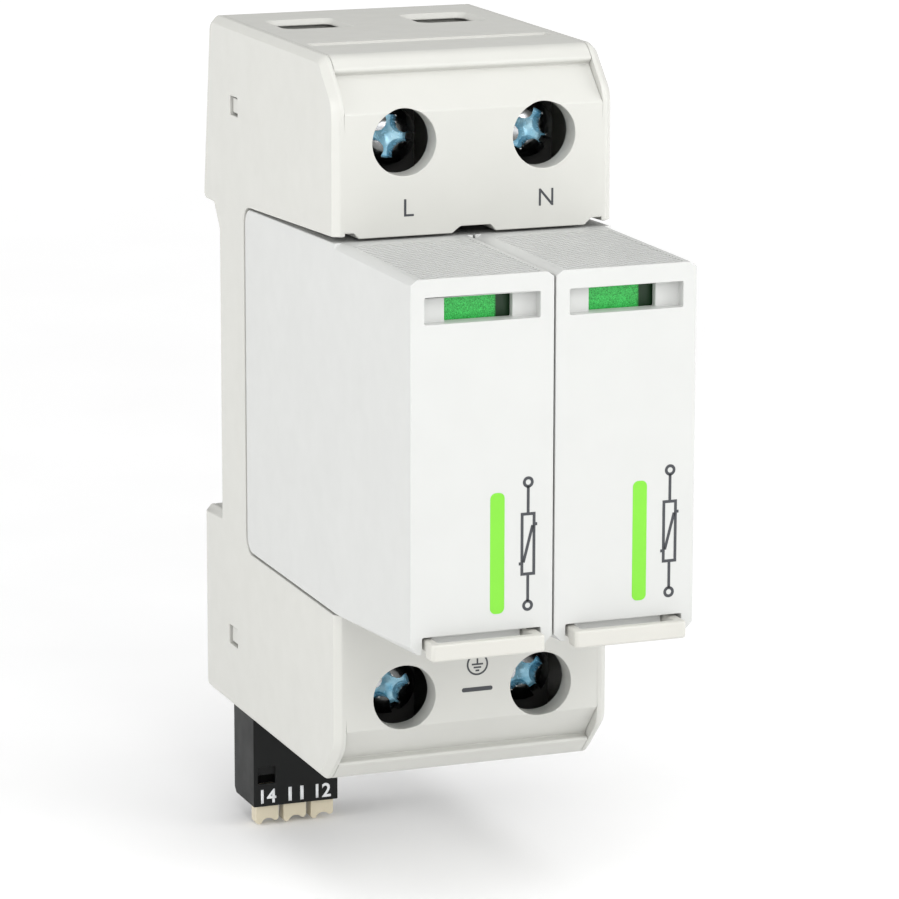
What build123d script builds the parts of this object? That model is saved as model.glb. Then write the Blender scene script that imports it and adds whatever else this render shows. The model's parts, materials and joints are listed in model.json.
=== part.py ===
from build123d import *
import os

os.makedirs("parts", exist_ok=True)

# Two-pole pluggable surge protector for a 35 mm DIN rail.
# X runs across the device, the front looks along -Y, Z is up.
# Y = 0 is the plane that bears on the rail, Z = 0 the middle of the rail.

# ---------------------------------------------------------------- driving dimensions, mm
POLE_X = 9.0  # centre of each pole; two 18 mm module widths
HALF_WIDTH = 18.0
COVER = 1.4  # thickness of the side covers
BODY_X = HALF_WIDTH - COVER
HALF_HEIGHT = 45.0
TOP_BACK_Y = 3.8  # the back of the upper block slopes from the top down to its foot
FOOT_BACK_Y = 6.6
LOWER_BACK_Y = 7.2
FRONT_Y = -44.1  # shoulder depth of the terminal blocks
FLOOR_Y = -0.4  # floor of the rail recess, just behind the bearing pad
POCKET_Y = -10.1  # rear wall of the pocket that takes the plug-in modules
COVER_POCKET_Y = -10.0
POCKET_TOP_Z = {"body": 23.5, "cover": 23.85}  # front lower edge of the upper block
PARTITION = 1.0  # half thickness of the wall between the poles
SPINE_FRONT_Y = -9.3
SPINE_BACK_Y = -1.5

SCREW_Z = {"upper": 34.85, "lower": -33.85}
SCREW_HOLE_R = 4.05
HEAD_TOP_Y = -39.2
HEAD_BACK_Y = -36.2
HEAD_R = 3.75
SHANK_R = 2.5
HEAD_DOME = 1.5
COLLAR_Y = (-36.0, -34.4)
COLLAR_HALF_X = 4.3

TONGUE_Y = (-16.5, -15.0)  # busbar tongue that the wire is pressed against
CAGE_Y = (-24.4, -4.9)
CAGE_HALF_X = 5.2
CAGE_HALF_Z = 4.6
CAGE_WALL_X = 1.2
CAGE_NUT = 4.0  # threaded front wall
CAGE_BACK = 1.4

ENTRY_X = 8.1  # wire entries in the top and bottom
ENTRY_Y = (-13.8, -5.8)
ENTRY_R = 1.0
ENTRY_BEVEL = 0.6
ENTRY_WALL = 0.8  # the wall is thinned around each entry

MODULE_W = 17.8
MODULE_FRONT_Y = -69.8
MODULE_BACK_Y = -10.3
MODULE_TOP_Z = 23.15
MODULE_WALL = 1.3
FRONT_WALL = 2.4
WINDOW_W = 14.3
WINDOW_Z = (17.83, 20.87)
WINDOW_DEPTH = 1.4
APERTURE_W = 8.4
BLADE_Z = 12.0
BLADE_T = 1.0
BLADE_H = 6.0
ARM_PIVOT = (-50.0, 14.3)  # Y and Z of the disconnect arm's pin
ARM_TIP_Y = -65.0
PIN_R = 1.2
RUNNING = 0.06

HANDLE_HALF_X = 7.1
HANDLE_Z = (-21.6, -19.5)
HANDLE_FRONT_Y = -72.2
HANDLE_ARM = 1.2

PLUG_X = (-15.0, -3.3)
PLUG_Y = (-3.5, 4.6)
PLUG_Z = (-59.0, -36.9)
PLUG_PITCH = 3.81
PLUG_PIN_Y = 1.4
LEVER_W = 3.15

POLES = {"line": -POLE_X, "neutral": POLE_X}
SIGNAL_POLES = {"14": -1, "11": 0, "12": 1}
PLUG_MID_X = sum(PLUG_X) / 2


# ---------------------------------------------------------------- shared shapes
def block(x, y, z, mode=Mode.ADD):
    """A box between two X, two Y and two Z stations."""
    with Locations(((x[0] + x[1]) / 2, (y[0] + y[1]) / 2, (z[0] + z[1]) / 2)):
        Box(x[1] - x[0], y[1] - y[0], z[1] - z[0], mode=mode)


def trace(steps):
    """A closed outline through points; a pair (through, to) is an arc."""
    here = steps[0]
    for step in steps[1:]:
        if isinstance(step[0], tuple):
            ThreePointArc(here, step[0], step[1])
            here = step[1]
        else:
            Line(here, step)
            here = step
    if here != steps[0]:
        Line(here, steps[0])


def slab(steps, x, mode=Mode.ADD):
    """A (Y, Z) outline extruded between two X stations."""
    with BuildSketch(Plane.YZ.offset(x[0])) as profile:
        with BuildLine():
            trace(steps)
        make_face()
    extrude(profile.sketch, amount=x[1] - x[0], mode=mode)


def front_plate(steps, y, mode=Mode.ADD):
    """An (X, Z) outline extruded between two Y stations."""
    with BuildSketch(Plane.XZ.offset(-y[1])) as profile:
        with BuildLine():
            trace(steps)
        make_face()
    extrude(profile.sketch, amount=y[1] - y[0], mode=mode)


def rod_y(x, z, r, y, mode=Mode.ADD):
    """A round bar or hole along Y."""
    with BuildSketch(Plane.XZ.offset(-y[1])) as profile:
        with Locations((x, z)):
            Circle(r)
    extrude(profile.sketch, amount=y[1] - y[0], mode=mode)


def rod_x(y, z, r, x, mode=Mode.ADD):
    """A round bar or hole along X."""
    with BuildSketch(Plane.YZ.offset(x[0])) as profile:
        with Locations((y, z)):
            Circle(r)
    extrude(profile.sketch, amount=x[1] - x[0], mode=mode)


def coil(radius, wire, height, turns):
    """A round-wire compression spring standing on its own plane."""
    with BuildPart() as spring:
        with BuildLine() as path:
            Helix(pitch=height / turns, height=height, radius=radius)
        with BuildSketch(Plane(origin=path.line @ 0, z_dir=path.line % 0)):
            Circle(wire / 2)
        sweep(is_frenet=True)
    return spring.part


def save(part, name):
    part.label = name
    export_step(part, f"parts/{name}.step")


# ---------------------------------------------------------------- side outline of the base
REAR_OUTLINE = [
    (TOP_BACK_Y - 1.9, HALF_HEIGHT),
    ((TOP_BACK_Y - 0.44, 44.35), (TOP_BACK_Y + 0.2, 42.9)),
    (FOOT_BACK_Y, 22.9),
    ((FOOT_BACK_Y - 0.65, 21.5), (FOOT_BACK_Y - 2.2, 21.0)),
    (1.9, 21.0),
    (FLOOR_Y, 17.8),
    (FLOOR_Y, -19.5),
    (LOWER_BACK_Y - 0.8, -19.9),
    ((LOWER_BACK_Y - 0.2, -20.2), (LOWER_BACK_Y, -20.8)),
    (LOWER_BACK_Y, -43.5),
    ((LOWER_BACK_Y - 0.44, -44.56), (LOWER_BACK_Y - 1.5, -HALF_HEIGHT)),
]


def pocket_outline(pocket_y, top_z):
    """The front of the side outline from the lower block up to the upper one."""
    return [
        (FRONT_Y, -22.75),
        (pocket_y - 2.2, -22.5),
        ((pocket_y - 0.65, -21.85), (pocket_y, -20.3)),
        (pocket_y, 20.2),
        ((pocket_y - 0.65, 21.75), (pocket_y - 2.2, 22.4)),
        (FRONT_Y, top_z),
    ]


# The blocks end in 45 degree slopes with rounded corners, towards a lip at the top and bottom.
# Between the covers the slope is sunk, deepest under the lip and running out on the front.
CORNER_R = 4.0
CREST_R = 2.5
SIN_45 = 0.5**0.5
SIN_22 = 0.382683
COS_22 = 0.92388
SLOPE_START_Z = {"upper": 38.2, "lower": 38.0}
SINK_START_Z = {"upper": 38.5, "lower": 37.6}
LIP = {  # sunk corner, then three points round the edge of the lip, as Y and height
    "upper": [(-39.85, 42.6), (-40.3, 42.95), (-40.48, 43.28), (-40.25, 43.71)],
    "lower": [(-40.3, 41.9), (-40.95, 42.15), (-41.2, 42.42), (-41.0, 42.76)],
}


def rounded_slope(start_z):
    """Front corner of a cover, from its front face up to the top, as Y and height."""
    low = (FRONT_Y + CORNER_R * (1 - SIN_45), start_z + CORNER_R * SIN_45)
    high_z = HALF_HEIGHT - CREST_R * (1 - SIN_45)
    high_y = low[0] + high_z - low[1]
    return [
        (FRONT_Y, start_z),
        ((FRONT_Y + CORNER_R * (1 - COS_22), start_z + CORNER_R * SIN_22), low),
        (high_y, high_z),
        ((high_y + CREST_R * (SIN_45 - SIN_22), HALF_HEIGHT - CREST_R * (1 - COS_22)),
         (high_y + CREST_R * SIN_45, HALF_HEIGHT)),
    ]


def sunk_slope(end):
    """The same corner between the covers, with its sunk panel and its lip."""
    corner, under, edge, over = LIP[end]
    return [(FRONT_Y, SINK_START_Z[end]), corner, under, (edge, over)] + rounded_slope(SLOPE_START_Z[end])[2:]


def turned_over(steps):
    """The outline mirrored to the lower block and run from its bottom back to the front."""
    ends = [step[1] if isinstance(step[0], tuple) else step for step in steps]
    result = [(ends[-1][0], -ends[-1][1])]
    for k in range(len(steps) - 1, 0, -1):
        to = (ends[k - 1][0], -ends[k - 1][1])
        if isinstance(steps[k][0], tuple):
            through = steps[k][0]
            result.append(((through[0], -through[1]), to))
        else:
            result.append(to)
    return result


def side_outline(upper, lower, pocket):
    """A closed outline: top edge, back, lower front corner, pocket, upper front corner."""
    crest = upper[-1][1]
    return [crest] + REAR_OUTLINE + turned_over(lower) + pocket + upper


COVER_OUTLINE = side_outline(rounded_slope(SLOPE_START_Z["upper"]), rounded_slope(SLOPE_START_Z["lower"]),
                             pocket_outline(COVER_POCKET_Y, POCKET_TOP_Z["cover"]))
BODY_OUTLINE = side_outline(sunk_slope("upper"), sunk_slope("lower"),
                            pocket_outline(POCKET_Y, POCKET_TOP_Z["body"]))

COVER_RIM = 0.85  # chamfer of the covers' outer edge
SNAP_GAP = 0.25
SNAP_WINDOWS = [(-6.5, 34.5, 3.0, 2.4), (-4.6, -35.1, 3.4, 2.5)]  # Y, Z, width, height

# ---------------------------------------------------------------- side covers
for side, sign in (("left", -1), ("right", 1)):
    x_in, x_out = sorted((sign * BODY_X, sign * HALF_WIDTH))
    with BuildPart() as side_cover:
        slab(COVER_OUTLINE, (x_in, x_out))
        outer = side_cover.faces().filter_by(Axis.X).sort_by(Axis.X)[-1 if sign > 0 else 0]
        rim = [edge for edge in outer.edges() if abs(edge.center().Z) > 29]
        chamfer(rim, COVER_RIM)
        for y, z, width, height in SNAP_WINDOWS:
            block((x_in, x_out), (y - width / 2, y + width / 2), (z - height / 2, z + height / 2),
                  mode=Mode.SUBTRACT)
    save(side_cover.part, f"side_cover_{side}")

# ---------------------------------------------------------------- base body
CAVITY = [
    (-41.1, 25.5),
    (SPINE_FRONT_Y, 24.2),
    (SPINE_FRONT_Y, -24.0),
    (-41.1, -24.6),
    (-41.1, -37.6),
    (-37.4, -43.1),
    (SPINE_BACK_Y, -43.1),
    (SPINE_BACK_Y, 19.6),
    (4.9, 24.4),
    (2.5, 43.1),
    (-37.4, 43.1),
    (-41.1, 38.6),
]
LATCH_X = (3.5, 14.5)
LATCH_Y = (0.6, 3.0)
LATCH_BOTTOM = -47.5
LATCH_BACK_X = (5.2, 12.8)  # channel open to the back, with a guide along each side
LATCH_WINDOW_X = (6.9, 11.1)
LATCH_WINDOW_Z = (-40.5, -28.0)
LATCH_PEG_Z = (-39.6, -37.8)
HOOK = [(1.3, 15.9), (2.4, 15.9), (3.2, 17.0), (3.6, 22.6), (1.3, 22.6)]
NOTCH_BACK_Y = -34.0
HEADER_Z = (-36.4, -32.4)
CODING_Z = {"line": 3.0, "neutral": -3.0}
CODING_R = 1.25
PLUNGER_R = 0.6
SWITCH_X = {"line": (-4.9, -2.1), "neutral": (2.1, 4.9)}
SWITCH_Y = (-8.4, -2.6)
SWITCH_HALF_Z = 4.1
BOARD_Y = (-2.6, -1.6)

with BuildPart() as base_body:
    slab(BODY_OUTLINE, (-BODY_X, BODY_X))
    for near, far in ((-BODY_X, -PARTITION), (PARTITION, BODY_X)):
        slab(CAVITY, (near, far), Mode.SUBTRACT)
        for z_floor, z_roof in ((25.0, 43.2), (-43.2, -24.2)):
            middle = POLE_X if near > 0 else -POLE_X
            block((middle - COLLAR_HALF_X, middle + COLLAR_HALF_X), COLLAR_Y, (z_floor, z_roof))
    # bearing pad on the rail and the fixed hooks above it
    block((-16.0, 16.0), (FLOOR_Y - 0.4, 0.0), (-13.0, 13.0))
    for x in (-9.0, 9.0):
        slab(HOOK, (x - 3.0, x + 3.0))
    # guide, stop peg and opening of the rail latch
    block((LATCH_X[0] - 0.5, LATCH_X[1] + 0.5), (0.2, 3.4), (-46.0, -19.0), Mode.SUBTRACT)
    block((7.8, 10.2), (0.0, 3.6), LATCH_PEG_Z)
    block(LATCH_BACK_X, (3.2, LOWER_BACK_Y + 1.0), (-46.0, -19.0), Mode.SUBTRACT)
    # socket for the signal plug
    block((-BODY_X, PLUG_X[1] + 1.2), (PLUG_Y[0] - 1.1, 0.5), (-43.5, HEADER_Z[1]))
    block((PLUG_X[0] - 0.3, PLUG_X[1] + 0.3), (PLUG_Y[0] - 0.3, PLUG_Y[1] + 0.3),
          (-46.0, HEADER_Z[1] + 1.0), Mode.SUBTRACT)
    # openings in the partition for the earth bar and the signal board
    block((-2.0, 2.0), (-14.4, -7.6), (-28.0, -25.5), Mode.SUBTRACT)
    block((-2.0, 2.0), (-3.0, SPINE_BACK_Y), (-32.8, 5.4), Mode.SUBTRACT)
    # latch notches in the lower edge of the upper block
    for notch in (
        [(-3.5, 23.0), (3.2, 23.0), (2.1, 24.3), (-1.8, 24.3)],
        [(-17.0, 23.0), (-14.4, 23.0), (-15.4, 24.2), (-17.0, 24.2)],
        [(13.9, 23.0), (17.0, 23.0), (17.0, 24.3), (15.2, 24.3)],
    ):
        front_plate(notch, (FRONT_Y - 1.0, NOTCH_BACK_Y), Mode.SUBTRACT)
    for pole, x in POLES.items():
        for end, z in SCREW_Z.items():
            rod_y(x, z, SCREW_HOLE_R, (FRONT_Y - 1, -40.0), Mode.SUBTRACT)
            rod_y(x, z, SHANK_R + 0.4, COLLAR_Y, Mode.SUBTRACT)
            # wire entry with a bevelled mouth in a thinned wall
            out = 1 if end == "upper" else -1
            with BuildSketch(Plane.XY.offset(out * 42.0)) as entry:
                with Locations((x, sum(ENTRY_Y) / 2)):
                    RectangleRounded(ENTRY_X, ENTRY_Y[1] - ENTRY_Y[0], ENTRY_R)
            extrude(entry.sketch, amount=out * 4.0, mode=Mode.SUBTRACT)
            block((x - ENTRY_X / 2 - 1, x + ENTRY_X / 2 + 1), (ENTRY_Y[0] - 1, ENTRY_Y[1] + 1),
                  tuple(sorted((out * 42.0, out * (HALF_HEIGHT - ENTRY_WALL)))), Mode.SUBTRACT)
            mouth = (base_body.edges().filter_by_position(Axis.Z, out * HALF_HEIGHT - 0.01,
                                                          out * HALF_HEIGHT + 0.01)
                     .filter_by_position(Axis.X, x - ENTRY_X / 2 - 0.1, x + ENTRY_X / 2 + 0.1)
                     .filter_by_position(Axis.Y, ENTRY_Y[0] - 0.1, ENTRY_Y[1] + 0.1))
            chamfer(mouth, ENTRY_BEVEL)
        # blade slots, coding peg seat and switch plunger hole in the pocket wall
        for z in (BLADE_Z, -BLADE_Z):
            block((x - 0.9, x + 0.9), (POCKET_Y - 1, SPINE_FRONT_Y + 1),
                  (z - BLADE_H / 2 - 0.4, z + BLADE_H / 2 + 0.4), Mode.SUBTRACT)
        rod_y(x, CODING_Z[pole], CODING_R, (POCKET_Y - 1, SPINE_FRONT_Y + 1), Mode.SUBTRACT)
        rod_y(sum(SWITCH_X[pole]) / 2, 0.0, 1.0, (POCKET_Y - 1, SPINE_FRONT_Y + 1), Mode.SUBTRACT)
    # shallow groove across the top and bottom near the front
    for out in (1, -1):
        z_groove = tuple(sorted((out * (HALF_HEIGHT - 0.35), out * (HALF_HEIGHT + 1))))
        block((-15.6, 15.6), (-30.2, -27.9), z_groove, Mode.SUBTRACT)
    # snap arms from the rear wall, with the lugs that hold the side covers
    for sign in (-1, 1):
        for y, z, width, height in SNAP_WINDOWS:
            front = y - width / 2 + SNAP_GAP
            z_span = (z - height / 2 + SNAP_GAP, z + height / 2 - SNAP_GAP)
            root_y = 4.3 if z > 0 else -1.0
            block(tuple(sorted((sign * (BODY_X - 0.9), sign * BODY_X))), (front, root_y), z_span)
            block(tuple(sorted((sign * (BODY_X - 0.9), sign * (HALF_WIDTH - 0.35)))),
                  (front, y + width / 2 - SNAP_GAP), z_span)
save(base_body.part, "base_body")

# ---------------------------------------------------------------- rail latch
with BuildPart() as rail_latch:
    slab([(1.3, -15.9), (2.2, -15.9), (LATCH_Y[1], -17.0), (LATCH_Y[1], LATCH_BOTTOM),
          (LATCH_Y[0], LATCH_BOTTOM), (LATCH_Y[0], -18.5), (1.3, -17.8)], LATCH_X)
    block(LATCH_WINDOW_X, (0.0, 4.0), LATCH_WINDOW_Z, Mode.SUBTRACT)
    block((6.5, 11.5), (0.0, 4.0), (-46.7, -45.6), Mode.SUBTRACT)
save(rail_latch.part, "rail_latch")

latch_spring = coil(0.95, 0.4, LATCH_WINDOW_Z[1] - LATCH_PEG_Z[1] - 0.5, 7)
save(latch_spring.moved(Location((9.0, sum(LATCH_Y) / 2, LATCH_PEG_Z[1] + 0.25))), "rail_latch_spring")

# ---------------------------------------------------------------- wire terminals
for pole, x in POLES.items():
    for end, z in SCREW_Z.items():
        with BuildPart() as cage:
            block((x - CAGE_HALF_X, x + CAGE_HALF_X), CAGE_Y, (z - CAGE_HALF_Z, z + CAGE_HALF_Z))
            fillet(cage.edges().filter_by(Axis.Z), 0.9)
            block((x - CAGE_HALF_X + CAGE_WALL_X, x + CAGE_HALF_X - CAGE_WALL_X),
                  (CAGE_Y[0] + CAGE_NUT, CAGE_Y[1] - CAGE_BACK), (z - 6.0, z + 6.0), Mode.SUBTRACT)
            rod_y(x, z, SHANK_R + RUNNING, (CAGE_Y[0] - 1, CAGE_Y[0] + CAGE_NUT + 1), Mode.SUBTRACT)
        save(cage.part, f"{pole}_{end}_clamp_cage")

        with BuildPart() as screw:
            with BuildSketch(Plane.YZ.offset(x)) as half:
                with BuildLine():
                    trace([
                        (HEAD_TOP_Y, z),
                        ((HEAD_TOP_Y + 0.45, z + 2.2), (HEAD_TOP_Y + HEAD_DOME, z + HEAD_R)),
                        (HEAD_BACK_Y, z + HEAD_R),
                        (HEAD_BACK_Y, z + SHANK_R),
                        (TONGUE_Y[0] - 1.1, z + SHANK_R),
                        (TONGUE_Y[0] - 0.3, z + SHANK_R - 0.8),
                        (TONGUE_Y[0] - 0.3, z),
                    ])
                make_face()
            revolve(axis=Axis((x, 0, z), (0, 1, 0)))
            # cross recess with a slot through the head
            for width, length in ((1.3, 5.0), (5.0, 1.3)):
                block((x - width / 2, x + width / 2), (HEAD_TOP_Y - 1, HEAD_TOP_Y + 2.0),
                      (z - length / 2, z + length / 2), Mode.SUBTRACT)
            block((x - 0.5, x + 0.5), (HEAD_TOP_Y - 1, HEAD_TOP_Y + 1.6),
                  (z - HEAD_R - 1, z + HEAD_R + 1), Mode.SUBTRACT)
        save(screw.part, f"{pole}_{end}_terminal_screw")

# ---------------------------------------------------------------- busbars and contact clips
BAR_T = 1.5
STRAP_Y = (-3.4, -1.9)


def bar_outline(out, z_tip, z_shelf):
    """Tongue, shelf and strap of one busbar, seen from the side."""
    return [
        (TONGUE_Y[0], out * z_tip),
        (TONGUE_Y[1], out * z_tip),
        (TONGUE_Y[1], out * (z_shelf + BAR_T)),
        (STRAP_Y[1], out * (z_shelf + BAR_T)),
        (STRAP_Y[1], out * 8.5),
        (STRAP_Y[0], out * 8.5),
        (STRAP_Y[0], out * z_shelf),
        (TONGUE_Y[0], out * z_shelf),
    ]


for pole, x in POLES.items():
    with BuildPart() as input_bar:
        slab(bar_outline(1, 41.0, 27.0), (x - 3.0, x + 3.0))
    save(input_bar.part, f"{pole}_input_bar")

with BuildPart() as earth_bar:
    for x in POLES.values():
        slab(bar_outline(-1, 40.0, 26.2), (x - 3.0, x + 3.0))
    block((-7.0, 7.0), (-14.0, -8.0), (-26.2 - BAR_T, -26.2))
save(earth_bar.part, "earth_bar")

for pole, x in POLES.items():
    for end, z in (("upper", BLADE_Z), ("lower", -BLADE_Z)):
        with BuildPart() as clip:
            block((x - 1.5, x + 1.5), (-4.1, STRAP_Y[0]), (z - 3.4, z + 3.4))
            for sign in (-1, 1):
                leaf = [(x + sign * 0.8, -8.2), (x + sign * 1.5, -8.8), (x + sign * 1.5, -4.1),
                        (x + sign * 0.8, -4.1)]
                with BuildSketch(Plane.XY.offset(z - 3.4)) as leaf_section:
                    with BuildLine():
                        trace(leaf)
                    make_face()
                extrude(leaf_section.sketch, amount=6.8)
        save(clip.part, f"{pole}_{end}_contact_clip")

# ---------------------------------------------------------------- remote signal group in the base
with BuildPart() as signal_board:
    front_plate([(-14.5, HEADER_Z[1]), (5.4, HEADER_Z[1]), (5.4, 5.0), (-5.4, 5.0),
                 (-5.4, -28.2), (-14.5, -28.2)], BOARD_Y)
save(signal_board.part, "signal_board")

for pole, x_case in SWITCH_X.items():
    x = sum(x_case) / 2
    with BuildPart() as switch_case:
        block(x_case, SWITCH_Y, (-SWITCH_HALF_Z, SWITCH_HALF_Z))
        fillet(switch_case.edges().filter_by(Axis.Y), 0.3)
        rod_y(x, 0.0, PLUNGER_R + 0.1, (SWITCH_Y[0] - 1, SWITCH_Y[0] + 2.4), Mode.SUBTRACT)
    save(switch_case.part, f"{pole}_signal_switch")
    with BuildPart() as plunger:
        rod_y(x, 0.0, PLUNGER_R, (MODULE_BACK_Y + 0.3, SWITCH_Y[0] + 1.2))
        fillet(plunger.edges().sort_by(Axis.Y)[0], 0.25)
    save(plunger.part, f"{pole}_switch_plunger")

with BuildPart() as coding_pegs:
    for pole, x in POLES.items():
        rod_y(x, CODING_Z[pole], CODING_R, (POCKET_Y - 2.4, SPINE_FRONT_Y))
    chamfer(coding_pegs.edges().filter_by(GeomType.CIRCLE).group_by(Axis.Y)[0], 0.4)
save(coding_pegs.part, "coding_pegs")

PIN_HALF = 0.4
PLUG_XS = [PLUG_MID_X + place * PLUG_PITCH for place in SIGNAL_POLES.values()]
with BuildPart() as signal_header:
    block((PLUG_X[0] - 0.3, PLUG_X[1] + 0.3), (PLUG_Y[0] - 0.3, PLUG_Y[1] + 0.3), HEADER_Z)
    for x in PLUG_XS:
        block((x - PIN_HALF, x + PIN_HALF), (PLUG_PIN_Y - PIN_HALF, PLUG_PIN_Y + PIN_HALF),
              (HEADER_Z[0] - 1, HEADER_Z[1] - 0.8), Mode.SUBTRACT)
save(signal_header.part, "signal_header")

with BuildPart() as signal_pins:
    for x in PLUG_XS:
        block((x - PIN_HALF, x + PIN_HALF), (PLUG_PIN_Y - PIN_HALF, PLUG_PIN_Y + PIN_HALF),
              (-43.5, HEADER_Z[1] - 0.8))
    chamfer(signal_pins.faces().sort_by(Axis.Z)[:3].edges(), 0.2)
save(signal_pins.part, "signal_pins")

# ---------------------------------------------------------------- signal plug with push levers
LEVER_Y = (PLUG_Y[0] + 0.5, PLUG_Y[0] + 2.5)
LEVER_Z = (-61.5, -56.5)
LEVER_GAP = 0.15
with BuildPart() as signal_plug:
    block(PLUG_X, PLUG_Y, PLUG_Z)
    chamfer(signal_plug.edges().filter_by(Axis.X).sort_by(Axis.Z)[:2].sort_by(Axis.Y)[-1], 0.7)
    for x in PLUG_XS:
        # pin socket, wire mouth and the slot that the lever slides in
        block((x - 0.8, x + 0.8), (PLUG_PIN_Y - 0.8, PLUG_PIN_Y + 0.8), (-45.0, -36.0), Mode.SUBTRACT)
        with BuildSketch(Plane.XY.offset(PLUG_Z[0])) as wire_mouth:
            with Locations((x, PLUG_PIN_Y + 0.5)):
                Circle(1.15)
        extrude(wire_mouth.sketch, amount=8.0, mode=Mode.SUBTRACT)
        block((x - LEVER_W / 2 - LEVER_GAP, x + LEVER_W / 2 + LEVER_GAP),
              (LEVER_Y[0] - LEVER_GAP, LEVER_Y[1] + LEVER_GAP),
              (PLUG_Z[0] - 1, LEVER_Z[1] + 1.7), Mode.SUBTRACT)
    # test opening on the front
    block((PLUG_X[0] + 0.6, PLUG_X[0] + 3.0), (PLUG_Y[0] - 1, PLUG_Y[0] + 0.45), (-55.9, -53.6), Mode.SUBTRACT)
save(signal_plug.part, "signal_plug")

for name, place in SIGNAL_POLES.items():
    x = PLUG_MID_X + place * PLUG_PITCH
    left, right = x - LEVER_W / 2, x + LEVER_W / 2
    with BuildPart() as lever:
        # a flat stem that slides in the plug, with a wavy thumb end below it
        front_plate([
            (left, LEVER_Z[1]),
            (left, LEVER_Z[0] + 0.3),
            ((left + 0.3, LEVER_Z[0]), (left + 0.75, LEVER_Z[0] + 0.05)),
            ((left + 1.35, LEVER_Z[0] + 0.65), (right - 0.75, LEVER_Z[0] + 0.45)),
            ((right - 0.3, LEVER_Z[0] + 0.35), (right, LEVER_Z[0] + 0.8)),
            (right, LEVER_Z[1]),
        ], LEVER_Y)
    save(lever.part, f"signal_lever_{name}")

with BuildPart() as plug_contacts:
    for x in PLUG_XS:
        block((x - 0.8, x + 0.8), (PLUG_PIN_Y - 0.8, PLUG_PIN_Y + 0.8), (-45.0, -44.0))
save(plug_contacts.part, "signal_plug_contacts")

# ---------------------------------------------------------------- plug-in modules
RIB_ANGLE = 27.0
RIB_PITCH = 0.81
RIB_DEPTH = 0.35
GRIP_EDGE = (0.85, 0.6)  # chamfer along the top, across and down
GRIP_EDGE_END_Y = -44.0  # the chamfer stops where the terminal block begins
SHELL_OUTLINE = [
    (MODULE_BACK_Y, 20.1),
    ((MODULE_BACK_Y - 0.6, 21.5), (MODULE_BACK_Y - 2.1, 22.15)),
    (-44.0, MODULE_TOP_Z),
    (MODULE_FRONT_Y, MODULE_TOP_Z),
    (MODULE_FRONT_Y, -21.2),
    (-44.0, -22.5),
    (MODULE_BACK_Y - 2.1, -22.27),
    ((MODULE_BACK_Y - 0.6, -21.65), (MODULE_BACK_Y, -20.2)),
]
SHELL_CAVITY = [
    (MODULE_FRONT_Y + FRONT_WALL, 21.5),
    (MODULE_FRONT_Y + FRONT_WALL, -17.8),
    (-49.0, -17.8),
    (-47.4, -20.4),
    (-18.0, -20.4),
    (-14.5, -19.6),
    (-10.0, -19.6),
    (-10.0, 19.6),
    (-14.5, 19.6),
    (-18.0, 20.5),
    (-60.0, 21.5),
]
REAR_COVER_Y = (-11.8, MODULE_BACK_Y)
INNER_HALF = MODULE_W / 2 - MODULE_WALL

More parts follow.
